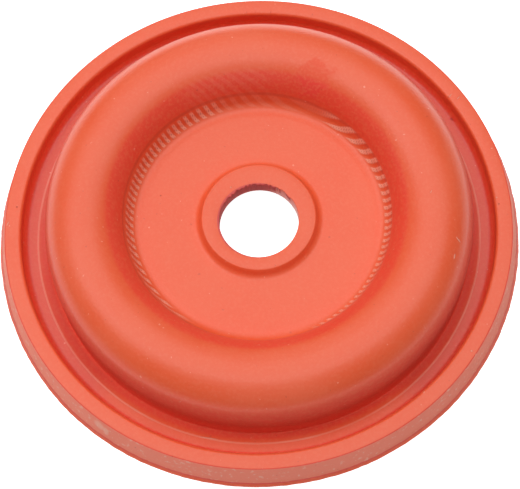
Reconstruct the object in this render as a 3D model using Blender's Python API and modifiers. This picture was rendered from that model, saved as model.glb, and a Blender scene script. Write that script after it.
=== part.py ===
"""Rubber valve diaphragm, moulded in one piece.

A flat rim carries the trimmed outer wall and seals in the valve body. Inside it
lie a clamping floor, a narrow trench, the raised rolling convolution and a flat
centre disc with a low boss. A bore for the valve stem goes through the boss.

The whole body is one section turned about Z. The section is a chain of straight
runs whose corners are rounded by tangent arcs, and the underside of the web is
the upper side moved down by the thickness of the web, so the wall of the
convolution is even all the way round the roll.

Units are metres, +Z is up and Z = 0 is the surface that the rim stands on.
"""
import bmesh
import bpy
from math import acos, atan2, ceil, cos, pi, radians, sin, tan
from mathutils import Matrix, Vector

MM = 0.001

# Rim and its trimmed outer wall
RIM_DIAMETER = 52.0 * MM
RIM_HEIGHT = 3.4 * MM
RIM_WIDTH = 1.68 * MM
WALL_FLARE = radians(10.0)
LIP_HEIGHT = 0.55 * MM
LIP_OVERHANG = 0.2 * MM
RIM_EDGE_RADIUS = 0.16 * MM
RIM_INNER_EDGE_RADIUS = 0.35 * MM

# Clamping floor inside the rim, and the trench at the foot of the convolution
FLOOR_DEPTH = 1.95 * MM
FLOOR_WIDTH = 1.5 * MM
FLOOR_FILLET = 0.7 * MM
FLOOR_EDGE_RADIUS = 0.1 * MM
TRENCH_DEPTH = 0.3 * MM
TRENCH_WIDTH = 1.2 * MM
TRENCH_FILLET = 0.15 * MM

# Rolling convolution
WEB_THICKNESS = 0.92 * MM
CROWN_RISE = 5.46 * MM
OUTER_WALL_LEAN = radians(2.0)
OUTER_ROLL_RADIUS = 3.85 * MM
INNER_ROLL_RADIUS = 4.2 * MM
FLANK_ANGLE = radians(72.0)
FLANK_FILLET = 1.0 * MM

# Centre disc, boss and bore
DISC_DIAMETER = 26.0 * MM
DISC_RISE = 0.9 * MM
DISC_EDGE_WIDTH = 1.2 * MM
DISC_EDGE_FALL = 0.12 * MM
DISC_EDGE_RADIUS = 2.0 * MM
BOSS_DIAMETER = 11.6 * MM
BOSS_HEIGHT = 0.92 * MM
BOSS_DRAFT = radians(24.0)
BOSS_EDGE_RADIUS = 0.14 * MM
BOSS_FILLET = 0.7 * MM
BORE_DIAMETER = 8.1 * MM
BORE_MISS = 0.35 * MM

# Underside
HOLLOW_MOUTH_RADIUS = 0.7 * MM
FOOT_EDGE_RADIUS = 0.12 * MM

# Fineness of the turned surface
TURN_STEPS = 80
BORE_STEPS = 64
ARC_STEP = radians(22.6)
LEAST_CHORD = 0.2 * MM
LEAST_TURN = radians(1.0)
RUN_SHARE = 0.96
LEAST_RADIUS_SHARE = 0.25
MERGE_DISTANCE = 0.001 * MM
CUTTER_REACH = 2.0 * MM
SHARP_EDGE = radians(38.0)

RUBBER_COLOUR = (0.84, 0.13, 0.06, 1.0)
RUBBER_ROUGHNESS = 0.5


def turn_at(before, corner, after):
    """How far a chain turns at a corner, as an angle without a sign."""
    way_in = (corner - before).normalized()
    way_out = (after - corner).normalized()
    return acos(max(-1.0, min(1.0, way_in.dot(way_out))))


def corner_arc(before, corner, after, reach):
    """Points of the arc that leaves the straight runs at the given reach from the corner."""
    turn = turn_at(before, corner, after)
    if reach <= 0.0 or turn < LEAST_TURN:
        return [corner.copy()]
    to_before = (before - corner).normalized()
    to_after = (after - corner).normalized()
    radius = reach / tan(turn / 2)
    centre = corner + (to_before + to_after).normalized() * (radius / cos(turn / 2))
    first = corner + to_before * reach - centre
    first_angle = atan2(first.y, first.x)
    side = 1.0 if to_before.x * to_after.y - to_before.y * to_after.x < 0.0 else -1.0
    count = max(1, ceil(min(turn / ARC_STEP, radius * turn / LEAST_CHORD)))
    angles = [first_angle + side * turn * k / count for k in range(count + 1)]
    return [centre + radius * Vector((cos(a), sin(a))) for a in angles]


def rounded(chain):
    """Round the inner corners of a chain of (point, radius) pairs.

    Where two arcs would meet on a short run, both shrink to share it.
    """
    points = [point for point, _ in chain]
    reach = [0.0] * len(chain)
    for k in range(1, len(chain) - 1):
        reach[k] = chain[k][1] * tan(turn_at(*points[k - 1:k + 2]) / 2)
    share = []
    for k in range(len(chain) - 1):
        run = (points[k + 1] - points[k]).length
        share.append(min(1.0, RUN_SHARE * run / max(reach[k] + reach[k + 1], LEAST_CHORD)))
    path = [points[0].copy()]
    for k in range(1, len(chain) - 1):
        path.extend(corner_arc(*points[k - 1:k + 2], reach[k] * min(share[k - 1], share[k])))
    path.append(points[-1].copy())
    return path


def moved_inward(chain, distance):
    """The same chain moved to its right-hand side, with its radii kept concentric.

    A radius that the move would use up keeps a small share of the distance instead.
    """
    normals = []
    for (a, _), (b, _) in zip(chain, chain[1:]):
        run = (b - a).normalized()
        normals.append(Vector((run.y, -run.x)))
    result = []
    for k, (corner, radius) in enumerate(chain):
        before = normals[max(k - 1, 0)]
        after = normals[min(k, len(normals) - 1)]
        miter = before + after
        shift = miter * (2.0 * distance / miter.length_squared)
        turns_right = before.x * after.y - before.y * after.x < 0.0
        new_radius = radius - distance if turns_right else radius + distance
        result.append((corner + shift, max(new_radius, LEAST_RADIUS_SHARE * distance)))
    return result


def section():
    """Half section of the solid body, from the axis out along the top and back below."""
    rim_top = RIM_HEIGHT
    rim_outer = RIM_DIAMETER / 2
    rim_inner = rim_outer - RIM_WIDTH
    floor = rim_top - FLOOR_DEPTH
    floor_edge = rim_inner - FLOOR_WIDTH
    trench = floor - TRENCH_DEPTH
    wall_foot = floor_edge - TRENCH_WIDTH

    crown = rim_top + CROWN_RISE
    wall_top = wall_foot + (crown - trench) * tan(OUTER_WALL_LEAN)
    disc = rim_top + DISC_RISE
    disc_edge = disc - DISC_EDGE_FALL
    flank_foot = DISC_DIAMETER / 2
    flank_top = flank_foot + (crown - disc_edge) / tan(FLANK_ANGLE)

    boss_top = disc + BOSS_HEIGHT
    boss_edge = BOSS_DIAMETER / 2
    boss_foot = boss_edge + BOSS_HEIGHT * tan(BOSS_DRAFT)

    crease = LIP_HEIGHT
    crease_radius = rim_outer + (rim_top - crease) * tan(WALL_FLARE)
    lip_radius = crease_radius + LIP_OVERHANG

    boss = [
        (Vector((0.0, boss_top)), 0.0),
        (Vector((boss_edge, boss_top)), BOSS_EDGE_RADIUS),
        (Vector((boss_foot, disc)), BOSS_FILLET),
    ]
    web_top = [
        (Vector((0.0, disc)), 0.0),
        (Vector((flank_foot - DISC_EDGE_WIDTH, disc)), DISC_EDGE_RADIUS),
        (Vector((flank_foot, disc_edge)), FLANK_FILLET),
        (Vector((flank_top, crown)), INNER_ROLL_RADIUS),
        (Vector((wall_top, crown)), OUTER_ROLL_RADIUS),
        (Vector((wall_foot, trench)), TRENCH_FILLET),
    ]
    flange = [
        (Vector((floor_edge, floor)), FLOOR_EDGE_RADIUS),
        (Vector((rim_inner, floor)), FLOOR_FILLET),
        (Vector((rim_inner, rim_top)), RIM_INNER_EDGE_RADIUS),
        (Vector((rim_outer, rim_top)), RIM_EDGE_RADIUS),
        (Vector((crease_radius, crease)), 0.0),
        (Vector((lip_radius, crease - LIP_OVERHANG)), LIP_OVERHANG),
        (Vector((lip_radius, 0.0)), FOOT_EDGE_RADIUS),
    ]
    web_under = moved_inward(web_top, WEB_THICKNESS)
    mouth = web_under[-1][0].x
    under = [(Vector((mouth, 0.0)), HOLLOW_MOUTH_RADIUS)] + web_under[-2::-1]
    return rounded(boss + web_top[1:] + flange + under)


def rubber():
    material = bpy.data.materials.new("orange_rubber")
    material.use_nodes = True
    shader = material.node_tree.nodes["Principled BSDF"]
    shader.inputs["Base Color"].default_value = RUBBER_COLOUR
    shader.inputs["Metallic"].default_value = 0.0
    shader.inputs["Roughness"].default_value = RUBBER_ROUGHNESS
    material.diffuse_color = RUBBER_COLOUR
    return material


def turned_body(collection):
    """The section as a chain of edges, turned about Z by a Screw modifier."""
    mesh = bpy.data.meshes.new("diaphragm")
    path = [(p.x, 0.0, p.y) for p in section()]
    edges = [(k, k + 1) for k in range(len(path) - 1)]
    mesh.from_pydata(path, edges, [])
    body = bpy.data.objects.new("diaphragm", mesh)
    collection.objects.link(body)
    screw = body.modifiers.new("Turn", "SCREW")
    screw.axis = "Z"
    screw.angle = 2 * pi
    screw.steps = TURN_STEPS
    screw.render_steps = TURN_STEPS
    screw.use_merge_vertices = True
    screw.merge_threshold = MERGE_DISTANCE
    screw.use_smooth_shade = True
    return body


def bore_cutter(collection):
    """The punch that makes the bore: it misses the middle of the boss a little."""
    height = RIM_HEIGHT + DISC_RISE + BOSS_HEIGHT + 2 * CUTTER_REACH
    mesh = bpy.data.meshes.new("bore_cutter")
    shape = bmesh.new()
    bmesh.ops.create_cone(
        shape, cap_ends=True, segments=BORE_STEPS, radius1=BORE_DIAMETER / 2,
        radius2=BORE_DIAMETER / 2, depth=height,
        matrix=Matrix.Translation((0.0, 0.0, height / 2 - CUTTER_REACH)))
    shape.to_mesh(mesh)
    shape.free()
    cutter = bpy.data.objects.new("bore_cutter", mesh)
    cutter.location = (0.0, -BORE_MISS, 0.0)
    cutter.hide_render = True
    cutter.display_type = "WIRE"
    collection.objects.link(cutter)
    return cutter


def finish(body):
    """Keep the turned and punched mesh, smooth but with crisp moulded edges."""
    evaluated = body.evaluated_get(bpy.context.evaluated_depsgraph_get())
    mesh = bpy.data.meshes.new_from_object(evaluated)
    body.modifiers.clear()
    body.data = mesh
    mesh.shade_smooth()
    mesh.set_sharp_from_angle(angle=SHARP_EDGE)


def main():
    for thing in list(bpy.data.objects):
        bpy.data.objects.remove(thing, do_unlink=True)
    parts = bpy.data.collections.new("valve_diaphragm")
    cutters = bpy.data.collections.new("cutters")
    bpy.context.scene.collection.children.link(parts)
    bpy.context.scene.collection.children.link(cutters)

    body = turned_body(parts)
    body.data.materials.append(rubber())
    bore = body.modifiers.new("Bore", "BOOLEAN")
    bore.operation = "DIFFERENCE"
    bore.solver = "EXACT"
    bore.object = bore_cutter(cutters)
    finish(body)


main()
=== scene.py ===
# %% [markdown]
# A rubber valve diaphragm, dressed for its portrait.
# The real part is one moulding: a sheet of orange rubber with fabric inside, pressed into a
# rim that is clamped, a rolling convolution that moves, and a disc that the valve stem
# holds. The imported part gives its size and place. This script gives it a finer skin and
# the finish of moulded, trimmed and punched rubber.

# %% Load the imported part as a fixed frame
from math import acos, atan2, ceil, cos, pi, radians, sin, tan

import bpy
import numpy as np
from mathutils import Matrix, Vector


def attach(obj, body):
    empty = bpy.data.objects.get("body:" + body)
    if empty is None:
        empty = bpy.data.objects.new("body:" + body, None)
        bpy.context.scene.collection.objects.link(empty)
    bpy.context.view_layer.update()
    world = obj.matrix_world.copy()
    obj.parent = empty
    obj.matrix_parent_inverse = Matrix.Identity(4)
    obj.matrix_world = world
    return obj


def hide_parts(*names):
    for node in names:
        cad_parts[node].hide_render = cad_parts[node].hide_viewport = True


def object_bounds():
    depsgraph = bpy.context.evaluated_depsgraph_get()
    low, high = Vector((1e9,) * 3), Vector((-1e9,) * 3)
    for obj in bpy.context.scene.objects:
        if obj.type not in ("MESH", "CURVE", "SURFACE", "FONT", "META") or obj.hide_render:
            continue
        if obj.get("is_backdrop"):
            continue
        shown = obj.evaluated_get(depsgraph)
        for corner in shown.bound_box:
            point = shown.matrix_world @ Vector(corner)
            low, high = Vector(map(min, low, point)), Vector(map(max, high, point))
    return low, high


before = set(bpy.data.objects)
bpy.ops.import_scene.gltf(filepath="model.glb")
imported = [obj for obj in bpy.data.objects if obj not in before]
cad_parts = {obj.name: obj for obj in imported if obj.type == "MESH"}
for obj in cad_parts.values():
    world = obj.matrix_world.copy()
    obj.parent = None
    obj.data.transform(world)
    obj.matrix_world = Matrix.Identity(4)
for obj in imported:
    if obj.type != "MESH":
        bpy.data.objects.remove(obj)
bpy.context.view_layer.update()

MM = 0.001

# %% [markdown]
# The camera comes first, because everything is judged through it. The photograph was taken
# from above, with a long lens about 21 cm away. A camera is easiest to place by three
# directions of its own: its right, its up, and the way back from the part to the lens.
# The roll turns it a little about its line of sight, as a hand does.

# %% Place the camera as the photograph has it
PHOTO_WIDTH = 520
RIM_RADIUS = 26.0 * MM
RIM_TOP = 3.4 * MM
LENS_DISTANCE = 8.0 * RIM_RADIUS
PIXELS_PER_RADIUS = 254.12
LENS_HEIGHT_ANGLE = radians(67.55)
CAMERA_ROLL = radians(-4.5)
OFF_CENTRE = Vector((-0.0023, 0.0818)) * RIM_RADIUS
SENSOR_MM = 36.0
NEAREST_SEEN = 1 * MM


def make_camera():
    right = Vector((1, 0, 0))
    up = Vector((0, sin(LENS_HEIGHT_ANGLE), cos(LENS_HEIGHT_ANGLE)))
    back = Vector((0, -cos(LENS_HEIGHT_ANGLE), sin(LENS_HEIGHT_ANGLE)))
    turn = Matrix((right, up, back)).transposed().to_4x4()
    place = turn @ Matrix.Rotation(CAMERA_ROLL, 4, "Z")
    place.translation = (Vector((0, 0, RIM_TOP)) + LENS_DISTANCE * back
                         - OFF_CENTRE.x * right - OFF_CENTRE.y * up)
    data = bpy.data.cameras.new("camera")
    data.sensor_width = SENSOR_MM
    data.lens = PIXELS_PER_RADIUS * (LENS_DISTANCE / RIM_RADIUS) * SENSOR_MM / PHOTO_WIDTH
    data.clip_start = NEAREST_SEEN
    camera = bpy.data.objects.new("camera", data)
    camera.matrix_world = place
    bpy.context.scene.collection.objects.link(camera)
    bpy.context.scene.camera = camera
    return camera


camera = make_camera()
bpy.context.scene.view_settings.view_transform = "Standard"
print("lens, mm:", round(camera.data.lens, 1))

# %% [markdown]
# Shader maths reads best as Python. This class wraps one socket of a node tree, so that
# `1 - mask` or `x * x + y * y` adds the Math nodes by itself. Each sign has a reflected
# form too, for when the plain number stands first. Every other node comes from `make`,
# which sets the node's settings first and then its sockets.

# %% Wrap a socket so that it can be used in sums
class Wire:
    """A socket of a node tree that takes part in sums as a number does."""

    def __init__(self, tree, socket=None):
        self.tree = tree
        self.socket = socket

    def make(self, kind, settings=None, sockets=None, out=0):
        """Add a node: its settings first, then the values or wires of its sockets."""
        node = self.tree.nodes.new(kind)
        for name, value in (settings or {}).items():
            setattr(node, name, value)
        for name, value in (sockets or {}).items():
            if isinstance(value, Wire):
                value.feed(node.inputs[name])
            else:
                node.inputs[name].default_value = value
        return Wire(self.tree, node.outputs[out])

    def feed(self, socket):
        """Link this wire to a socket of a node that is there already."""
        self.tree.links.new(self.socket, socket)

    def math(self, operation, *others):
        """A Math node that takes this wire first."""
        values = dict(enumerate((self, *others)))
        return self.make("ShaderNodeMath", {"operation": operation}, values)

    def reflected(self, operation, other):
        """A Math node that takes this wire second."""
        return self.make("ShaderNodeMath", {"operation": operation}, {0: other, 1: self})

    def __add__(self, other):
        return self.math("ADD", other)

    def __radd__(self, other):
        return self.reflected("ADD", other)

    def __sub__(self, other):
        return self.math("SUBTRACT", other)

    def __rsub__(self, other):
        return self.reflected("SUBTRACT", other)

    def __mul__(self, other):
        return self.math("MULTIPLY", other)

    def __rmul__(self, other):
        return self.reflected("MULTIPLY", other)

    def __truediv__(self, other):
        return self.math("DIVIDE", other)

    def __rtruediv__(self, other):
        return self.reflected("DIVIDE", other)


print("a wire takes part in sums with: + - * /")

# %% [markdown]
# Some forms are wanted twice: as real bumps in the mesh and as tints in the material. These
# small functions take an array of numbers as well as a wire, so one formula serves both.
# `eased` is the one that is used most: a step with soft ends, which makes a mask out of a
# distance, a height or a noise.

# %% Functions that work on arrays and on wires alike
def cosine(angle):
    return angle.math("COSINE") if isinstance(angle, Wire) else np.cos(angle)


def root(value):
    return value.math("SQRT") if isinstance(value, Wire) else np.sqrt(value)


def arc_tangent(y, x):
    return y.math("ARCTAN2", x) if isinstance(y, Wire) else np.arctan2(y, x)


def eased(value, low, high):
    """0 at low, 1 at high, and a smooth step between; high may be the lower number."""
    if isinstance(value, Wire):
        settings = {"interpolation_type": "SMOOTHSTEP"}
        return value.make("ShaderNodeMapRange", settings,
                          {"Value": value, "From Min": low, "From Max": high})
    share = np.clip((value - low) / (high - low), 0.0, 1.0)
    return share * share * (3.0 - 2.0 * share)


def within(value, low, high, edge):
    """1 between low and high, easing to 0 over an edge outside each."""
    return eased(value, low - edge, low) * (1.0 - eased(value, high, high + edge))


print("half way up a soft step:", float(eased(0.5, 0.0, 1.0)))

# %% [markdown]
# The part's half section is a chain of corners, each with the radius of the arc that rounds
# it. That is easier to read and to change than a list of points on a curve. The first
# stretch is the flange that the valve body clamps: a floor, a flat rim, and the outer wall
# that a knife has trimmed. The wall flares down to a small lip. The sizes are those of the
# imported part, but the wall flares 2 degrees more and the lip stands 0.08 mm further out
# from it, because the photograph shows the foot a little wider.

# %% Corners of the clamped flange
RIM_WIDTH = 1.68 * MM
RIM_EDGE_RADIUS = 0.16 * MM
RIM_INNER_EDGE_RADIUS = 0.35 * MM
FLOOR_DEPTH = 1.95 * MM
FLOOR_WIDTH = 1.5 * MM
FLOOR_FILLET = 0.7 * MM
FLOOR_EDGE_RADIUS = 0.1 * MM
WALL_FLARE = radians(12.0)
LIP_HEIGHT = 0.55 * MM
LIP_OVERHANG = 0.28 * MM
FOOT_EDGE_RADIUS = 0.12 * MM


def corner(radius, height, rounding=0.0):
    """A corner of the half section, and the radius of the arc that rounds it."""
    return Vector((radius, height)), rounding


rim_inner = RIM_RADIUS - RIM_WIDTH
floor = RIM_TOP - FLOOR_DEPTH
floor_edge = rim_inner - FLOOR_WIDTH
crease_radius = RIM_RADIUS + (RIM_TOP - LIP_HEIGHT) * tan(WALL_FLARE)
lip_radius = crease_radius + LIP_OVERHANG
flange = [
    corner(floor_edge, floor, FLOOR_EDGE_RADIUS),
    corner(rim_inner, floor, FLOOR_FILLET),
    corner(rim_inner, RIM_TOP, RIM_INNER_EDGE_RADIUS),
    corner(RIM_RADIUS, RIM_TOP, RIM_EDGE_RADIUS),
    corner(crease_radius, LIP_HEIGHT),
    corner(lip_radius, LIP_HEIGHT - LIP_OVERHANG, LIP_OVERHANG),
    corner(lip_radius, 0.0, FOOT_EDGE_RADIUS),
]
print("lip across, mm:", round(2 * lip_radius / MM, 2))

# %% [markdown]
# The web is the sheet that moves. It runs from the flat disc in the middle, down a shallow
# dip at the disc's edge, up the steep inner flank, over the crown and down the outer wall
# into a narrow trench. The crown has a wider arc inside than outside, because the
# photograph's shading changes more slowly there.

# %% Corners of the rolling web
DISC_RADIUS = 13.0 * MM
DISC_RISE = 0.9 * MM
DISC_EDGE_WIDTH = 1.2 * MM
DISC_EDGE_FALL = 0.12 * MM
DISC_EDGE_RADIUS = 2.0 * MM
FLANK_ANGLE = radians(72.0)
FLANK_FILLET = 1.0 * MM
CROWN_RISE = 5.46 * MM
INNER_ROLL_RADIUS = 4.2 * MM
OUTER_ROLL_RADIUS = 3.85 * MM
OUTER_WALL_LEAN = radians(2.0)
TRENCH_DEPTH = 0.3 * MM
TRENCH_WIDTH = 1.2 * MM
TRENCH_FILLET = 0.15 * MM

disc = RIM_TOP + DISC_RISE
disc_edge = disc - DISC_EDGE_FALL
crown = RIM_TOP + CROWN_RISE
flank_top = DISC_RADIUS + (crown - disc_edge) / tan(FLANK_ANGLE)
trench = floor - TRENCH_DEPTH
wall_foot = floor_edge - TRENCH_WIDTH
wall_top = wall_foot + (crown - trench) * tan(OUTER_WALL_LEAN)
web = [
    corner(0.0, disc),
    corner(DISC_RADIUS - DISC_EDGE_WIDTH, disc, DISC_EDGE_RADIUS),
    corner(DISC_RADIUS, disc_edge, FLANK_FILLET),
    corner(flank_top, crown, INNER_ROLL_RADIUS),
    corner(wall_top, crown, OUTER_ROLL_RADIUS),
    corner(wall_foot, trench, TRENCH_FILLET),
]
print("crown above the table, mm:", round(crown / MM, 2))

# %% [markdown]
# The boss is a low raised ring that stiffens the rubber round the stem. The bore through it
# is punched, so its edges are nearly sharp. The chain starts and ends at one point on the
# straight wall of the bore, where the join of the closed loop can't be seen.

# %% Corners of the boss and the bore
BOSS_RADIUS = 5.8 * MM
BOSS_HEIGHT = 0.92 * MM
BOSS_DRAFT = radians(24.0)
BOSS_EDGE_RADIUS = 0.14 * MM
BOSS_FILLET = 0.7 * MM
BORE_RADIUS = 4.05 * MM
BORE_EDGE_RADIUS = 0.06 * MM
WEB_THICKNESS = 0.92 * MM

boss_top = disc + BOSS_HEIGHT
boss_foot = BOSS_RADIUS + BOSS_HEIGHT * tan(BOSS_DRAFT)
bore_join = corner(BORE_RADIUS, disc - WEB_THICKNESS / 2)
boss = [
    corner(BORE_RADIUS, boss_top, BORE_EDGE_RADIUS),
    corner(BOSS_RADIUS, boss_top, BOSS_EDGE_RADIUS),
    corner(boss_foot, disc, BOSS_FILLET),
]
print("boss across, mm:", round(2 * BOSS_RADIUS / MM, 2))

# %% [markdown]
# The underside is hidden in the photograph. A moulded sheet is equally thick all the way
# round its roll, so the underside is the upper side moved inwards by the thickness of the
# web. An arc keeps its centre when it is moved, which makes its radius smaller on the
# inside of a bend and larger on the outside. The hollow then opens at the foot.

# %% Move the web down to get its underside
LEAST_RADIUS_SHARE = 0.25
HOLLOW_MOUTH_RADIUS = 0.7 * MM


def moved_inward(chain, distance):
    """The chain moved to its right-hand side; a radius that is used up keeps a small share."""
    normals = []
    for (a, _), (b, _) in zip(chain, chain[1:]):
        run = (b - a).normalized()
        normals.append(Vector((run.y, -run.x)))
    result = []
    for k, (point, radius) in enumerate(chain):
        before = normals[max(k - 1, 0)]
        after = normals[min(k, len(normals) - 1)]
        miter = before + after
        shift = miter * (2.0 * distance / miter.length_squared)
        turns_right = before.x * after.y - before.y * after.x < 0.0
        new_radius = radius - distance if turns_right else radius + distance
        result.append((point + shift, max(new_radius, LEAST_RADIUS_SHARE * distance)))
    return result


web_under = moved_inward(web, WEB_THICKNESS)
mouth_radius = web_under[-1][0].x
mouth = corner(mouth_radius, 0.0, HOLLOW_MOUTH_RADIUS)
bore_foot = corner(BORE_RADIUS, disc - WEB_THICKNESS, BORE_EDGE_RADIUS)
under = [mouth] + web_under[-2:0:-1] + [bore_foot]
print("mouth of the hollow across, mm:", round(2 * mouth_radius / MM, 2))

# %% [markdown]
# A corner is rounded by the arc that touches both of its straight runs. The arc leaves a
# run at a certain reach from the corner, which follows from its radius and from how far the
# chain turns. Its steps are even angles, and a small arc gets fewer of them than a large
# one, because a chord shorter than a tenth of a millimetre shows nothing.

# %% Make the arc of one corner
ARC_STEP = radians(9.0)
LEAST_CHORD = 0.1 * MM
LEAST_ARC_STEPS = 2


def turn_at(before, point, after):
    """How far a chain turns at a point, as an angle without a sign."""
    way_in = (point - before).normalized()
    way_out = (after - point).normalized()
    return acos(max(-1.0, min(1.0, way_in.dot(way_out))))


def corner_arc(before, point, after, reach):
    """Points of the arc that leaves the straight runs at a reach from the corner."""
    if reach <= 0.0:
        return [point.copy()]
    turn = turn_at(before, point, after)
    to_before = (before - point).normalized()
    to_after = (after - point).normalized()
    radius = reach / tan(turn / 2)
    centre = point + (to_before + to_after).normalized() * (radius / cos(turn / 2))
    first = point + to_before * reach - centre
    first_angle = atan2(first.y, first.x)
    side = 1.0 if to_before.x * to_after.y - to_before.y * to_after.x < 0.0 else -1.0
    steps = ceil(min(turn / ARC_STEP, radius * turn / LEAST_CHORD))
    steps = max(LEAST_ARC_STEPS, steps)
    angles = [first_angle + side * turn * k / steps for k in range(steps + 1)]
    return [centre + radius * Vector((cos(a), sin(a))) for a in angles]


print("steps in a large quarter arc:", ceil(pi / 2 / ARC_STEP))

# %% [markdown]
# The whole chain is rounded corner by corner. Where two arcs want more of a run than it
# has, both shrink to share it, so a size can be changed without the chain crossing itself.
# The last point is the first one again, and it is dropped to leave a closed loop.

# %% Round the corners of the section
RUN_SHARE = 0.96


def rounded(chain):
    """Round a chain of (point, radius) pairs; arcs that would meet share their run."""
    points = [point for point, _ in chain]
    reach = [0.0] * len(chain)
    for k in range(1, len(chain) - 1):
        reach[k] = chain[k][1] * tan(turn_at(*points[k - 1:k + 2]) / 2)
    share = []
    for k in range(len(chain) - 1):
        run = (points[k + 1] - points[k]).length
        share.append(min(1.0, RUN_SHARE * run / max(reach[k] + reach[k + 1], LEAST_CHORD)))
    path = [points[0].copy()]
    for k in range(1, len(chain) - 1):
        path.extend(corner_arc(*points[k - 1:k + 2], reach[k] * min(share[k - 1], share[k])))
    path.append(points[-1].copy())
    return path


section = rounded([bore_join] + boss + web[1:] + flange + under + [bore_join])[:-1]
print("section points:", len(section))

# %% [markdown]
# The skin will be the section turned about the axis: rings of points joined by four-sided
# faces. Long runs are cut into shorter ones, because the rings are also what the bumps and
# the shifts are made on. The band where the fabric shows gets the closest rings, since its
# ribs are real geometry, and the hidden underside gets the fewest.

# %% Choose the rings
TURN_STEPS = 600
FABRIC_BAND = (12.3 * MM, 13.9 * MM)
FABRIC_SPACING = 0.13 * MM
TOP_SPACING = 0.9 * MM
PLAIN_SPACING = 3.0 * MM
TOP_LEVEL = RIM_TOP + 0.5 * DISC_RISE
LEAST_TRIES = 8
LAST_GAP_SHARE = 0.5


def ring_spacing(point):
    """The least distance from a new ring to the one before it."""
    on_top = point.y > TOP_LEVEL
    if on_top and FABRIC_BAND[0] < point.x < FABRIC_BAND[1]:
        return FABRIC_SPACING
    if on_top or point.x > RIM_RADIUS - RIM_WIDTH:
        return TOP_SPACING
    return PLAIN_SPACING


def with_more_points(path):
    """The closed path with points added to its long runs, but none close to a run's end."""
    result = []
    for k, here in enumerate(path):
        there = path[(k + 1) % len(path)]
        tries = max(LEAST_TRIES, ceil((there - here).length / FABRIC_SPACING))
        result.append(here)
        for step in range(1, tries):
            point = here.lerp(there, step / tries)
            spacing = ring_spacing(point)
            far_from_last = (point - result[-1]).length >= spacing
            if far_from_last and (there - point).length > LAST_GAP_SHARE * spacing:
                result.append(point)
    return result


rings = np.array([(point.x, point.y) for point in with_more_points(section)])
print("rings:", len(rings), "triangles:", 2 * len(rings) * TURN_STEPS)

# %% [markdown]
# Turning is done with arrays of numbers. Blender's Screw modifier would give the same
# points, but the arrays are at hand for the next steps, which move points along the normals
# of the skin and by their bearing round the axis.

# %% Turn the section
def outward(loop):
    """Unit normals of a closed loop of (radius, height) points, pointing out of it."""
    along = np.roll(loop, -1, axis=0) - np.roll(loop, 1, axis=0)
    normal = np.stack((-along[:, 1], along[:, 0]), axis=1)
    return normal / np.linalg.norm(normal, axis=1, keepdims=True)


def turned(loop):
    """Points and normals of every ring, as arrays of ring x step x 3."""
    angle = 2 * pi * np.arange(TURN_STEPS) / TURN_STEPS
    way = np.stack((np.cos(angle), np.sin(angle), np.zeros(TURN_STEPS)), axis=1)
    up = np.array((0.0, 0.0, 1.0))
    normal = outward(loop)
    points = loop[:, None, :1] * way[None] + loop[:, None, 1:] * up
    normals = normal[:, None, :1] * way[None] + normal[:, None, 1:] * up
    return points, normals


points, normals = turned(rings)
print("turned points:", points.shape[0] * points.shape[1])

# %% [markdown]
# The punch and the trimming knife each miss the middle of the moulding a little, and the
# photograph shows both. The rings slide towards the bore's own centre as they near it, so
# no Boolean is needed. All that lies inside the clamping floor slides sideways, and the
# trench takes up the difference.

# %% Slide the bore and the moulding off centre
BORE_MISS = 0.35 * MM
TRIM_MISS = 0.14 * MM
TRIM_MISS_BAND = (21.9 * MM, 22.7 * MM)

near_bore = 1.0 - eased(rings[:, 0], BORE_RADIUS, BOSS_RADIUS)
points[:, :, 1] -= BORE_MISS * near_bore[:, None]
moulded = 1.0 - eased(rings[:, 0], *TRIM_MISS_BAND)
points[:, :, 0] += TRIM_MISS * moulded[:, None]
print("rings round the bore that slide:", int((near_bore > 0).sum()))

# %% [markdown]
# The fabric inside the web is pressed against the mould where the web bends up from the
# disc, and its yarns show there as a row of small ribs. They are straight and parallel on
# the real part, so they follow one direction across the part and not its axis. Each rib is
# a plaited cord, so it is dark where a strand dips. Both patterns are waves along and
# across the yarns, with soft edges.

# %% Pattern of the yarns
YARN_ANGLE = radians(-30.0)
YARN_PITCH = 0.67 * MM
RIB_EDGES = (-0.45, 0.45)
PLAIT_PITCH = 0.29 * MM
PLAIT_EDGES = (0.05, 0.75)


def across_yarns(x, y):
    return sin(-YARN_ANGLE) * x + cos(YARN_ANGLE) * y


def along_yarns(x, y):
    return cos(YARN_ANGLE) * x + sin(YARN_ANGLE) * y


def rib_pattern(x, y):
    """1 on the middle of a rib, 0 between two ribs."""
    return eased(cosine(across_yarns(x, y) * (2 * pi / YARN_PITCH)), *RIB_EDGES)


def plait_pattern(x, y):
    """1 where a strand of the cord dips: on its middle, then on its two sides."""
    lengthwise = cosine(along_yarns(x, y) * (2 * pi / PLAIT_PITCH))
    crosswise = cosine(across_yarns(x, y) * (4 * pi / YARN_PITCH))
    return eased(lengthwise * crosswise, *PLAIT_EDGES)


print("yarns in a centimetre:", round(10 * MM / YARN_PITCH, 1))

# %% [markdown]
# The ribs show where the rubber over them is thin. That is a narrow band at the foot of the
# inner flank, but not on the side that is nearest to the lens, where the rubber covers
# them, and only weakly at the far side. Higher up the far flank the same yarns show
# faintly. The zone is a product of soft bands: one by the distance from the axis and one by
# the bearing round it. It moves the points along their normals, so the ribs are real.

# %% Raise the ribs of the fabric
RIB_HEIGHT = 0.055 * MM
RIB_BAND = (12.9 * MM, 13.4 * MM)
RIB_EASE = 0.18 * MM
RIB_ARC = (radians(-62.0), radians(225.0))
PLAIN_ARC = (radians(60.0), radians(98.0))
PLAIN_LOSS = 0.8
FAINT_BAND = (13.6 * MM, 15.2 * MM)
FAINT_EASE = 0.5 * MM
FAINT_ARC = (radians(90.0), radians(110.0))
FAINT_SHARE = 0.09
ARC_EASE = radians(12.0)
UPPER_SIDE = RIM_TOP + 0.45 * DISC_RISE


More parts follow.
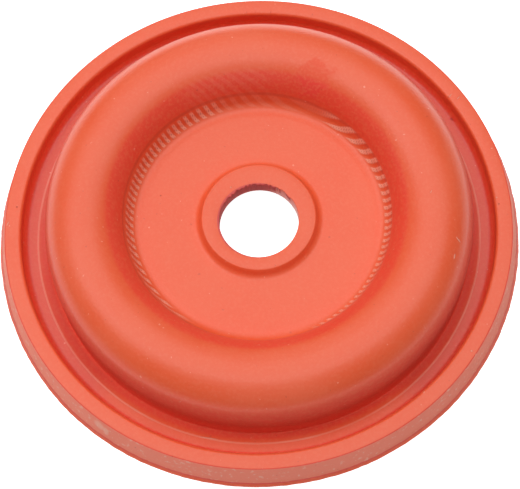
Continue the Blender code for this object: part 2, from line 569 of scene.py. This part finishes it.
def in_arc(x, y, arc):
    """1 between two bearings round the axis, with soft ends."""
    middle = (arc[0] + arc[1]) / 2
    half = (arc[1] - arc[0]) / 2
    off = arc_tangent(y * cos(middle) - x * sin(middle), x * cos(middle) + y * sin(middle))
    return eased(cosine(off), cos(half + ARC_EASE), cos(half))


def rib_zone(x, y):
    """How strongly the ribs show at a place on the upper side."""
    x = x - TRIM_MISS
    radius = root(x * x + y * y)
    strong = within(radius, *RIB_BAND, RIB_EASE) * in_arc(x, y, RIB_ARC)
    strong = strong * (1.0 - PLAIN_LOSS * in_arc(x, y, PLAIN_ARC))
    faint = within(radius, *FAINT_BAND, FAINT_EASE) * in_arc(x, y, FAINT_ARC)
    return strong + FAINT_SHARE * faint


x, y, z = points[:, :, 0], points[:, :, 1], points[:, :, 2]
ribs = rib_pattern(x, y) * rib_zone(x, y) * (z > UPPER_SIDE)
points = points + normals * (RIB_HEIGHT * ribs)[:, :, None]
print("rib points:", int((ribs > 0.5).sum()))

# %% [markdown]
# Trimmed rubber never has a perfect edge. A closed row of smooth random numbers makes the
# lip at the foot wavy. It comes from noise whose short waves are taken out, with a fixed
# seed, so every run gives the same edge. The lip only loses rubber, so the part keeps its
# size.

# %% Make the lip wavy
LIP_WAVE = 0.9 * MM
LIP_LOSS = 0.04 * MM
WAVE_SWING = 1.5


def wavering(count, wave, length, seed):
    """A closed row of smooth random numbers between 0 and 1 over a length."""
    noise = np.random.default_rng(seed).normal(size=count)
    frequency = np.arange(count // 2 + 1) * wave / length
    smooth = np.fft.irfft(np.fft.rfft(noise) * np.exp(-frequency ** 2), count)
    return eased(smooth / smooth.std(), -WAVE_SWING, WAVE_SWING)


outwards = points * np.array((1.0, 1.0, 0.0))
outwards /= np.linalg.norm(outwards, axis=2, keepdims=True)
lip = (rings[:, 0] > RIM_RADIUS + LIP_OVERHANG) * (rings[:, 1] < LIP_HEIGHT)
lip_wave = wavering(TURN_STEPS, LIP_WAVE, 2 * pi * RIM_RADIUS, seed=3)
points -= outwards * (LIP_LOSS * lip[:, None] * lip_wave)[:, :, None]
print("lip rings:", int(lip.sum()))

# %% [markdown]
# The punch leaves small tags of rubber at the far edge of the bore, where the photograph
# looks straight at them. They only reach inwards, into the hole, and they are finer than
# the waves of the lip, as torn rubber is finer than cut rubber.

# %% Fray the edge of the bore
FRAY_WAVE = 0.22 * MM
FRAY_REACH = 0.16 * MM
FRAY_HEIGHT = 0.3 * MM
FRAY_ARC = (radians(30.0), radians(145.0))

edge = 1.0 - eased(rings[:, 0], BORE_RADIUS, BORE_RADIUS + 2 * BORE_EDGE_RADIUS)
edge = edge * eased(rings[:, 1], boss_top - FRAY_HEIGHT, boss_top - BORE_EDGE_RADIUS)
fray = wavering(TURN_STEPS, FRAY_WAVE, 2 * pi * BORE_RADIUS, seed=5)
fray = fray * in_arc(outwards[:, :, 0], outwards[:, :, 1], FRAY_ARC)
points -= outwards * (FRAY_REACH * edge[:, None] * fray)[:, :, None]
print("bore edge rings:", int((edge > 0.5).sum()))

# %% [markdown]
# Now the rings become a mesh. Each point is joined to the next one on its ring and to the
# same two on the next ring. Both directions close on themselves, so the skin has no hole
# and no seam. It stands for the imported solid, rides with it and takes its finish.

# %% Join the rings into a closed skin
def skin_mesh(name, points):
    ring_count, step_count = points.shape[:2]
    ring = np.arange(ring_count)[:, None] * step_count
    step = np.arange(step_count)[None]
    next_ring = np.roll(ring, -1, axis=0)
    next_step = np.roll(step, -1, axis=1)
    corners = (ring + step, next_ring + step, next_ring + next_step, ring + next_step)
    faces = np.stack(corners, axis=2).reshape(-1, 4)
    mesh = bpy.data.meshes.new(name)
    mesh.from_pydata(points.reshape(-1, 3).tolist(), [], faces.tolist())
    mesh.shade_smooth()
    return mesh


skin = bpy.data.objects.new("moulded_rubber", skin_mesh("moulded_rubber", points))
bpy.context.scene.collection.objects.link(skin)
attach(skin, "root")
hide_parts("diaphragm")
print("skin faces:", len(skin.data.polygons))

# %% [markdown]
# The finish comes next, in layers. It starts from the place of each point on the part, in
# metres, and from four noises of very different sizes: clouds in the bloom, a ragged edge,
# the fine grain that the mould leaves, and specks. Each noise has a scale, which is about
# how many of its spots lie along a metre, and a detail, which is how many finer noises are
# laid over it.

# %% Start the rubber's material
CLOUD = (170.0, 4.0)
RAGGED = (900.0, 4.0)
GRAIN = (3300.0, 3.0)
SPECK = (2300.0, 1.0)
NOISE_MIDDLE = 0.5


def noise(place, scale, detail):
    sockets = {"Vector": place, "Scale": scale, "Detail": detail}
    return place.make("ShaderNodeTexNoise", {}, sockets)


def part_of(vector, name):
    """One of the three numbers of a vector."""
    return vector.make("ShaderNodeSeparateXYZ", {}, {0: vector}, out=name)


rubber = bpy.data.materials.new("orange_rubber_finish")
rubber.use_nodes = True
rubber_shader = rubber.node_tree.nodes["Principled BSDF"]
place = Wire(rubber.node_tree).make("ShaderNodeTexCoord", out="Object")
x, y, z = [part_of(place, name) for name in "XYZ"]
radius = root(x * x + y * y)
cloud = noise(place, *CLOUD)
ragged = noise(place, *RAGGED) - NOISE_MIDDLE
grain = noise(place, *GRAIN)
speck = noise(place, *SPECK)
skin.data.materials.append(rubber)
print("nodes for places and noises:", len(rubber.node_tree.nodes))

# %% [markdown]
# The photograph shows a few marks of moulding and handling at fixed places: a scrape on
# the trimmed wall, pale flecks on the crown, specks of dust and small dark pits. Each is a
# soft ellipsoid: its middle in x, y and z, half its length, half its width, and its
# bearing, in millimetres and degrees. Its height keeps it from being smeared down a steep
# wall. The real marks are finer than the mesh, so they are tints and small bumps.

# %% Marks of moulding and handling
PALE_MARKS = (
    (-17.2, -19.75, 2.0, 0.75, 0.22, -43),
    (-16.6, -20.4, 2.0, 0.35, 0.2, -43),
    (19.7, -5.35, 7.8, 0.32, 0.07, -50),
    (19.15, -7.1, 7.9, 0.3, 0.06, 75),
    (17.5, -0.3, 8.8, 0.22, 0.05, 60),
    (24.75, 6.4, 3.4, 0.11, 0.08, 0),
    (24.6, 0.85, 3.4, 0.1, 0.08, 0),
    (-25.6, 2.2, 3.4, 0.3, 0.06, 60),
    (21.15, 12.85, 3.4, 0.3, 0.05, 40),
    (21.95, 12.5, 3.4, 0.25, 0.05, 45),
    (20.2, -15.5, 3.4, 0.12, 0.1, 0),
    (-6.5, -21.75, 1.5, 0.9, 0.07, -12),
    (-2.45, 3.5, 4.8, 0.12, 0.08, 40),
    (2.6, 2.65, 4.8, 0.12, 0.08, -40),
)
DARK_MARKS = (
    (21.86, 0.95, 6.2, 0.3, 0.09, 80),
    (24.77, 0.1, 3.4, 0.08, 0.08, 0),
    (-24.6, 4.0, 3.4, 0.09, 0.09, 0),
    (0.58, 24.6, 2.4, 0.25, 0.05, 90),
    (1.54, 24.55, 2.4, 0.2, 0.05, 80),
    (3.15, 24.4, 2.4, 0.3, 0.06, 75),
    (21.2, 11.0, 1.5, 0.2, 0.1, -60),
    (-9.7, 3.6, 4.3, 0.08, 0.06, 0),
)
print("marks:", len(PALE_MARKS) + len(DARK_MARKS))

# %% [markdown]
# One formula makes every mark. It turns a point into the ellipsoid's own lengths, where the
# ellipsoid is a ball of radius 1, and then eases from near its middle to a little outside
# it. The loop adds up the marks of one kind, so two that meet flow together.

# %% Turn the marks into masks
HALF_RISE = 1.2 * MM
MARK_FADE = (0.2, 1.3)


def marks(x, y, z, places, half_rise=HALF_RISE):
    """The sum of several small soft ellipsoids at a place on the part."""
    total = 0.0
    for middle_x, middle_y, middle_z, half_length, half_width, bearing in places:
        ahead = x - middle_x * MM
        beside = y - middle_y * MM
        above = (z - middle_z * MM) / half_rise
        way = radians(bearing)
        along = (cos(way) * ahead + sin(way) * beside) / (half_length * MM)
        across = (cos(way) * beside - sin(way) * ahead) / (half_width * MM)
        far = along * along + across * across + above * above
        total = (1.0 - eased(far, *MARK_FADE)) + total
    return total


pale_marks = marks(x, y, z, PALE_MARKS)
dark_marks = marks(x, y, z, DARK_MARKS)
print("nodes with the marks' masks:", len(rubber.node_tree.nodes))

# %% [markdown]
# The mould leaves the rubber one even orange-red, under a thin pale bloom that lies in soft
# clouds. From here on the colour is built in layers, as a painter would: each layer is a
# colour and the share of it that covers what is below. A Mix node does this, because a Math
# node would turn a colour grey. Of that node's sockets, 0 is the share, 6 and 7 take the
# two colours, and 2 gives the result; the others are for plain numbers and vectors.

# %% Moulded rubber with a pale bloom
RUBBER = (0.79, 0.1, 0.033, 1.0)
BLOOM = (0.80, 0.14, 0.062, 1.0)
CLOUD_EDGES = (0.3, 0.7)
CLOUD_BLOOM = 0.35
MIX_SHARE, MIX_FROM, MIX_TO, MIX_RESULT = 0, 6, 7, 2


def painted(colour, share, paint):
    """A colour with a share of another laid over it."""
    sockets = {MIX_SHARE: share, MIX_FROM: colour, MIX_TO: paint}
    return share.make("ShaderNodeMix", {"data_type": "RGBA"}, sockets, out=MIX_RESULT)


colour = painted(RUBBER, eased(cloud, *CLOUD_EDGES) * CLOUD_BLOOM, BLOOM)
print("nodes with the bloom:", len(rubber.node_tree.nodes))

# %% [markdown]
# Where the web bends and is hidden from the lamps, shade is painted as a deeper red: low on
# the inner flank, in the trench, on the floor beside it and in the fillet inside the rim. Each
# place is a band of distances from the axis. A distance alone would also tint what lies above
# or below it, so each band is limited to its own heights as well. The painted shade on the
# floor leaves out the near side, where the light reaches it, so its band is also limited by
# the bearing round the axis.

# %% Find the bends where shade is painted in deeper red
UPPER_EASE = 0.05 * MM
TRENCH_SIDE = (RIM_TOP + 2.4 * MM, RIM_TOP + 4.6 * MM)
FILLET_SIDE = (RIM_TOP - 0.4 * MM, RIM_TOP - 0.1 * MM)
NEAR_ARC = (radians(-130.0), radians(-60.0))
DEEP_FLANK = (13.9 * MM, 14.9 * MM, 0.6 * MM)
DEEP_TRENCH = (20.8 * MM, 22.1 * MM, 0.5 * MM)
DEEP_FLOOR = (22.0 * MM, 23.8 * MM, 0.4 * MM)
DEEP_FILLET = (23.75 * MM, 24.15 * MM, 0.2 * MM)
FLOOR_SHARE = 0.6

upper = eased(z, UPPER_SIDE - UPPER_EASE, UPPER_SIDE)
low = 1.0 - eased(z, *TRENCH_SIDE)
not_near = 1.0 - in_arc(x, y, NEAR_ARC)
# Painted shade on the floor beside the trench, left out on the near side.
floor_shade = within(radius, *DEEP_FLOOR) * low * not_near
# Painted shade low on the inner flank and in the trench.
deep = within(radius, *DEEP_FLANK) * upper + within(radius, *DEEP_TRENCH) * low
# Painted shade in the fillet inside the rim.
fillet = within(radius, *DEEP_FILLET) * (1.0 - eased(z, *FILLET_SIDE))
deep = (deep + floor_shade * FLOOR_SHARE + fillet).math("MINIMUM", 1.0)
print("nodes with the bends:", len(rubber.node_tree.nodes))

# %% [markdown]
# A dull smudge lies on the far flank. It is made as a large soft mark, and the ragged noise
# moves the point that it is measured at, which tears its edge. The bloom that sits in the
# grain lies over the smudge and over the painted deep-red shade.

# %% Painted deep-red shade, smudge and bloom in the grain
# DEEP_RED paints shade in the bends and in the crease, and it also tints the smudge and the
# knife line.
DEEP_RED = (0.80, 0.035, 0.030, 1.0)
DEEP_SHARE = 0.55
SMUDGE = ((7.0, 13.9, 7.2, 2.3, 1.9, 0),)
SMUDGE_RISE = 4.0 * MM
SMUDGE_EDGES = (0.3, 0.6)
SMUDGE_SHARE = 0.2
RAGGED_REACH = 2.5 * MM
GRAIN_EDGES = (0.42, 0.72)
GRAIN_BLOOM = 0.5

shift = ragged * RAGGED_REACH
smudge = eased(marks(x + shift, y + shift, z, SMUDGE, SMUDGE_RISE), *SMUDGE_EDGES)
# The painted shade in the bends and the smudge are laid on in deep red.
colour = painted(colour, deep * DEEP_SHARE + smudge * SMUDGE_SHARE, DEEP_RED)
colour = painted(colour, eased(grain, *GRAIN_EDGES) * GRAIN_BLOOM, BLOOM)
print("nodes with the smudge:", len(rubber.node_tree.nodes))

# %% [markdown]
# The ribs are paler than the rubber round them, with a dark spot where a strand dips. The
# gaps between them and the line just above them hold a little shade, and so does the floor
# beside the trench. The same pattern and zone that raised the ribs also tint them, so the
# tint can't slide off the bumps.

# %% Tint of the ribs and their shade
PALE_RIB = (0.92, 0.36, 0.25, 1.0)
# DARK paints shade, and it also colours the plait's dips, the dark specks and the dark marks.
DARK = (0.34, 0.03, 0.03, 1.0)
RIB_SHADOW = (13.56 * MM, 13.62 * MM, 0.08 * MM)
SHADOW_SHARE = 0.22
GAP_SHARE = 0.03
RIB_SHARE = 0.8
PLAIT_SHARE = 0.4

zone = rib_zone(x, y) * upper
pattern = rib_pattern(x, y)
rib = pattern * zone
plait = plait_pattern(x, y) * rib
gaps = zone * (1.0 - pattern)
shadow = within(radius, *RIB_SHADOW) * in_arc(x, y, RIB_ARC) * upper

# Painted shade: the line above the ribs, the gaps between them and the floor beside the
# trench.
shade = shadow * SHADOW_SHARE + gaps * GAP_SHARE + floor_shade * SHADOW_SHARE
colour = painted(colour, shade, DARK)
colour = painted(colour, rib * RIB_SHARE, PALE_RIB)
colour = painted(colour, plait * PLAIT_SHARE, DARK)
print("nodes with the ribs:", len(rubber.node_tree.nodes))

# %% [markdown]
# Two fine lines run round the part: a painted highlight on the edge where the trench meets the
# floor, and a deep red one where the knife met the rim. Each is a narrow band of distances
# from the axis. The painted highlight comes and goes with the clouds.

# %% Painted highlight on the floor's edge, and knife line
PALE = (0.92, 0.48, 0.36, 1.0)
EDGE_HIGHLIGHT = (22.74 * MM, 22.8 * MM, 0.12 * MM)
EDGE_LINE_LEAST = 0.1
EDGE_LINE_CLOUD = 0.4
KNIFE_LINE = (25.93 * MM, 26.02 * MM, 0.03 * MM)
KNIFE_SIDE = (RIM_TOP - 0.3 * MM, RIM_TOP - 0.2 * MM)
KNIFE_SHARE = 0.7

# The pale line is a painted highlight on the floor's edge.
edge_highlight = within(radius, *EDGE_HIGHLIGHT) * (EDGE_LINE_LEAST + EDGE_LINE_CLOUD * cloud)
knife_line = within(radius, *KNIFE_LINE) * eased(z, *KNIFE_SIDE)
colour = painted(colour, edge_highlight, PALE)
colour = painted(colour, knife_line * KNIFE_SHARE, DEEP_RED)
print("nodes with the fine lines:", len(rubber.node_tree.nodes))

# %% [markdown]
# The outer wall was cut with a knife when the part was trimmed. Cut rubber is paler than
# moulded rubber and full of tiny flecks. Above the lip runs a narrow crease, and its shade is
# painted there in deep red. The wall begins just inside the rim's edge, so that no moulded
# colour is left on it.

# %% Trimmed wall and the painted shade in its crease
TRIMMED = (0.92, 0.24, 0.155, 1.0)
CREASE = (0.5 * MM, 0.58 * MM)
CREASE_EASE = 0.06 * MM
CREASE_START = (RIM_RADIUS + 0.2 * MM, RIM_RADIUS + 0.3 * MM)
CREASE_SHARE = 0.7
WALL_START = (RIM_RADIUS - 0.03 * MM, RIM_RADIUS + 0.02 * MM)
FLECK_EDGES = (0.6, 0.75)
FLECK_SHARE = 0.6

wall = eased(radius, *WALL_START) * eased(z, *CREASE)
# Painted shade in the crease above the lip.
crease = within(z, *CREASE, CREASE_EASE) * eased(radius, *CREASE_START)
colour = painted(colour, wall, TRIMMED)
colour = painted(colour, wall * eased(speck, *FLECK_EDGES) * FLECK_SHARE, PALE)
colour = painted(colour, crease * CREASE_SHARE, DEEP_RED)
print("nodes with the trimmed wall:", len(rubber.node_tree.nodes))

# %% [markdown]
# The wall of the bore was punched. It is matt, and it is painted darker than the moulded
# rubber, which stands in for the shade inside the bore. It is found by the distance from the
# bore's own centre, which isn't the part's.

# %% Punched wall of the bore, painted darker for its shade
PUNCHED_AND_SHADED = (0.62, 0.085, 0.075, 1.0)
BORE_WALL = (BORE_RADIUS + 0.03 * MM, BORE_RADIUS + 0.08 * MM)

from_bore = y + BORE_MISS
punched = 1.0 - eased(root(x * x + from_bore * from_bore), *BORE_WALL)
# The punched wall's colour holds painted shade.
colour = painted(colour, punched, PUNCHED_AND_SHADED)
print("nodes with the punched wall:", len(rubber.node_tree.nodes))

# %% [markdown]
# Dust and pits come last, over all that is moulded or cut. The pale and the dark ones are the
# two ends of one noise, so they never fall on the same place. The listed marks lie on top, and
# the whole stack feeds the rubber's base colour.

# %% Specks, pits and marks
PALE_SPECKS = (0.76, 0.82)
PALE_SPECK_SHARE = 0.35
DARK_SPECKS = (0.25, 0.2)
DARK_SPECK_SHARE = 0.25
PALE_MARK_SHARE = 0.55
DARK_MARK_SHARE = 0.6

colour = painted(colour, eased(speck, *PALE_SPECKS) * PALE_SPECK_SHARE, PALE)
colour = painted(colour, eased(speck, *DARK_SPECKS) * DARK_SPECK_SHARE, DARK)
colour = painted(colour, pale_marks * PALE_MARK_SHARE, PALE)
colour = painted(colour, dark_marks * DARK_MARK_SHARE, DARK)
colour.feed(rubber_shader.inputs["Base Color"])
print("nodes with the marks:", len(rubber.node_tree.nodes))

# %% [markdown]
# Moulded rubber is softly glossy, a little more in one cloud than in the next. Cut and
# punched rubber is matt, and so are the smudge and the narrow foot of the trench, where
# dust gathers. How much light the surface mirrors is the same everywhere, so that is a
# plain number on the shader's own socket.

# %% Gloss of the rubber
GLOSS_ROUGHNESS = 0.36
CUT_ROUGHNESS = 0.35
CLOUD_ROUGHNESS = 0.15
SMUDGE_ROUGHNESS = 0.25
TRENCH_FOOT = (21.35 * MM, 21.9 * MM, 0.2 * MM)
TRENCH_ROUGHNESS = 0.35
SPECULAR_LEVEL = 0.43

cut = (wall + punched).math("MINIMUM", 1.0)
roughness = GLOSS_ROUGHNESS + CUT_ROUGHNESS * cut
roughness = roughness + (cloud - NOISE_MIDDLE) * CLOUD_ROUGHNESS + smudge * SMUDGE_ROUGHNESS
roughness = roughness + within(radius, *TRENCH_FOOT) * low * TRENCH_ROUGHNESS
roughness.feed(rubber_shader.inputs["Roughness"])
rubber_shader.inputs["Specular IOR Level"].default_value = SPECULAR_LEVEL
print("nodes with the gloss:", len(rubber.node_tree.nodes))

# %% [markdown]
# The grain of the mould, the coarser tear of cut rubber and the placed marks are also small
# heights. They are finer than the mesh, so a Bump node turns them into bent normals. The
# heights are real ones in metres, which is why the bump's distance is 1.

# %% Grain of the rubber
GRAIN_DEPTH = 0.018 * MM
TEAR_DEPTH = 3.0 * GRAIN_DEPTH
MARK_DEPTH = 0.05 * MM
BUMP_DISTANCE = 1.0

height = grain * GRAIN_DEPTH + speck * (cut * TEAR_DEPTH)
height = height + (pale_marks - dark_marks) * MARK_DEPTH
sockets = {"Distance": BUMP_DISTANCE, "Height": height}
bump = height.make("ShaderNodeBump", {}, sockets, out="Normal")
bump.feed(rubber_shader.inputs["Normal"])
print("rubber nodes:", len(rubber.node_tree.nodes))

# %% [markdown]
# The part lies on a plain white table that melts into the background. The table glows for
# the rays that come from the camera, also by way of a mirror or a glass. So it shows as
# white but throws no soft light up on the rubber, and it still receives the part's shadow.
# The glow goes from black to white in the shader's emission colour, at a strength of 1.

# %% Lay the table
TABLE_SIDE = 4.0
TABLE_DROP = 0.02 * MM
TABLE_GREY = (0.8, 0.8, 0.8, 1.0)
TABLE_ROUGHNESS = 0.9
BLACK = (0.0, 0.0, 0.0, 1.0)
WHITE = (1.0, 1.0, 1.0, 1.0)
SEEN_RAYS = ("Is Camera Ray", "Is Glossy Ray", "Is Transmission Ray")
TABLE_GLOW = 1.0


def table_material():
    material = bpy.data.materials.new("pale_table")
    material.use_nodes = True
    shader = material.node_tree.nodes["Principled BSDF"]
    start = Wire(material.node_tree)
    camera_ray, glossy, through = [start.make("ShaderNodeLightPath", out=ray)
                                   for ray in SEEN_RAYS]
    seen = (camera_ray + glossy + through).math("MINIMUM", 1.0)
    painted(BLACK, seen, WHITE).feed(shader.inputs["Emission Color"])
    shader.inputs["Emission Strength"].default_value = TABLE_GLOW
    shader.inputs["Base Color"].default_value = TABLE_GREY
    shader.inputs["Roughness"].default_value = TABLE_ROUGHNESS
    return material


def make_table():
    half = TABLE_SIDE / 2
    corners = [(-half, -half, 0), (half, -half, 0), (half, half, 0), (-half, half, 0)]
    mesh = bpy.data.meshes.new("table")
    mesh.from_pydata(corners, [], [(0, 1, 2, 3)])
    mesh.materials.append(table_material())
    table = bpy.data.objects.new("table", mesh)
    table.location.z = -TABLE_DROP
    bpy.context.scene.collection.objects.link(table)
    table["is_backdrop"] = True
    return table


table = make_table()
print("table side, m:", table.dimensions.x)

# %% [markdown]
# Soft boxes light the part. Where the photograph shows a highlight, the surface mirrors the
# camera's line of sight into a lamp, so the directions of the small boxes were worked out
# from the pink highlights on the roll. The large ones fill in between. A lamp is given by
# its direction, by half the angle it fills as seen from the part, in degrees, and by its
# radiance, which is how bright its face looks. A disc that shines evenly gives off pi times
# its radiance from each square metre, and that makes its power.

# %% Hang the soft boxes
LAMP_DISTANCE = 0.6
SOFTBOXES = (
    ("overhead_softbox", (0.0, 0.0, 1.0), 36, 0.66),
    ("zenith_softbox", (0.0, -0.1, 1.0), 13, 2.4),
    ("left_softbox", (-0.46, 0.16, 0.86), 17, 2.6),
    ("right_softbox", (0.4, 0.17, 0.88), 16, 1.8),
    ("back_softbox", (0.0, 0.41, 0.91), 13, 1.5),
    ("back_panel", (-0.15, 0.85, 0.7), 22, 1.1),
    ("left_panel", (-0.85, 0.25, 0.6), 20, 0.5),
    ("front_fill", (0.0, -0.85, 0.65), 22, 0.5),
)


def make_softbox(name, direction, half_angle, radiance):
    radius = LAMP_DISTANCE * tan(radians(half_angle))
    face = pi * radius ** 2
    data = bpy.data.lights.new(name, "AREA")
    data.shape = "DISK"
    data.size = 2 * radius
    data.energy = pi * radiance * face
    lamp = bpy.data.objects.new(name, data)
    lamp.location = Vector(direction).normalized() * LAMP_DISTANCE
    lamp.rotation_euler = (-lamp.location).to_track_quat("-Z", "Y").to_euler()
    bpy.context.scene.collection.objects.link(lamp)
    return lamp


lamps = [make_softbox(*softbox) for softbox in SOFTBOXES]
print("soft boxes:", len(lamps), "watts:", round(sum(lamp.data.energy for lamp in lamps), 1))

# %% [markdown]
# The room around them is a plain white world. It is dim, so that it only fills the shadows,
# but the camera sees it at full strength, which keeps the background white. Glossy rays
# meet the dim room, because a bright one all round would lay a veil over the rubber, and
# the part has no metal or glass to mirror it.

# %% Fill the room
ROOM_STRENGTH = 0.14

room = bpy.data.worlds.new("studio")
bpy.context.scene.world = room
room.use_nodes = True
background = room.node_tree.nodes["Background"]
seen = Wire(room.node_tree).make("ShaderNodeLightPath", out="Is Camera Ray")
strength = ROOM_STRENGTH + seen * (1.0 - ROOM_STRENGTH)
strength.feed(background.inputs["Strength"])
background.inputs["Color"].default_value = WHITE
print("room strength:", ROOM_STRENGTH)

# %% [markdown]
# The last cell prints how large the dressed part is, as a plain list.

# %% Print the size of the dressed part
low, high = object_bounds()
print("dressed, mm:", [round(side / MM, 2) for side in high - low])
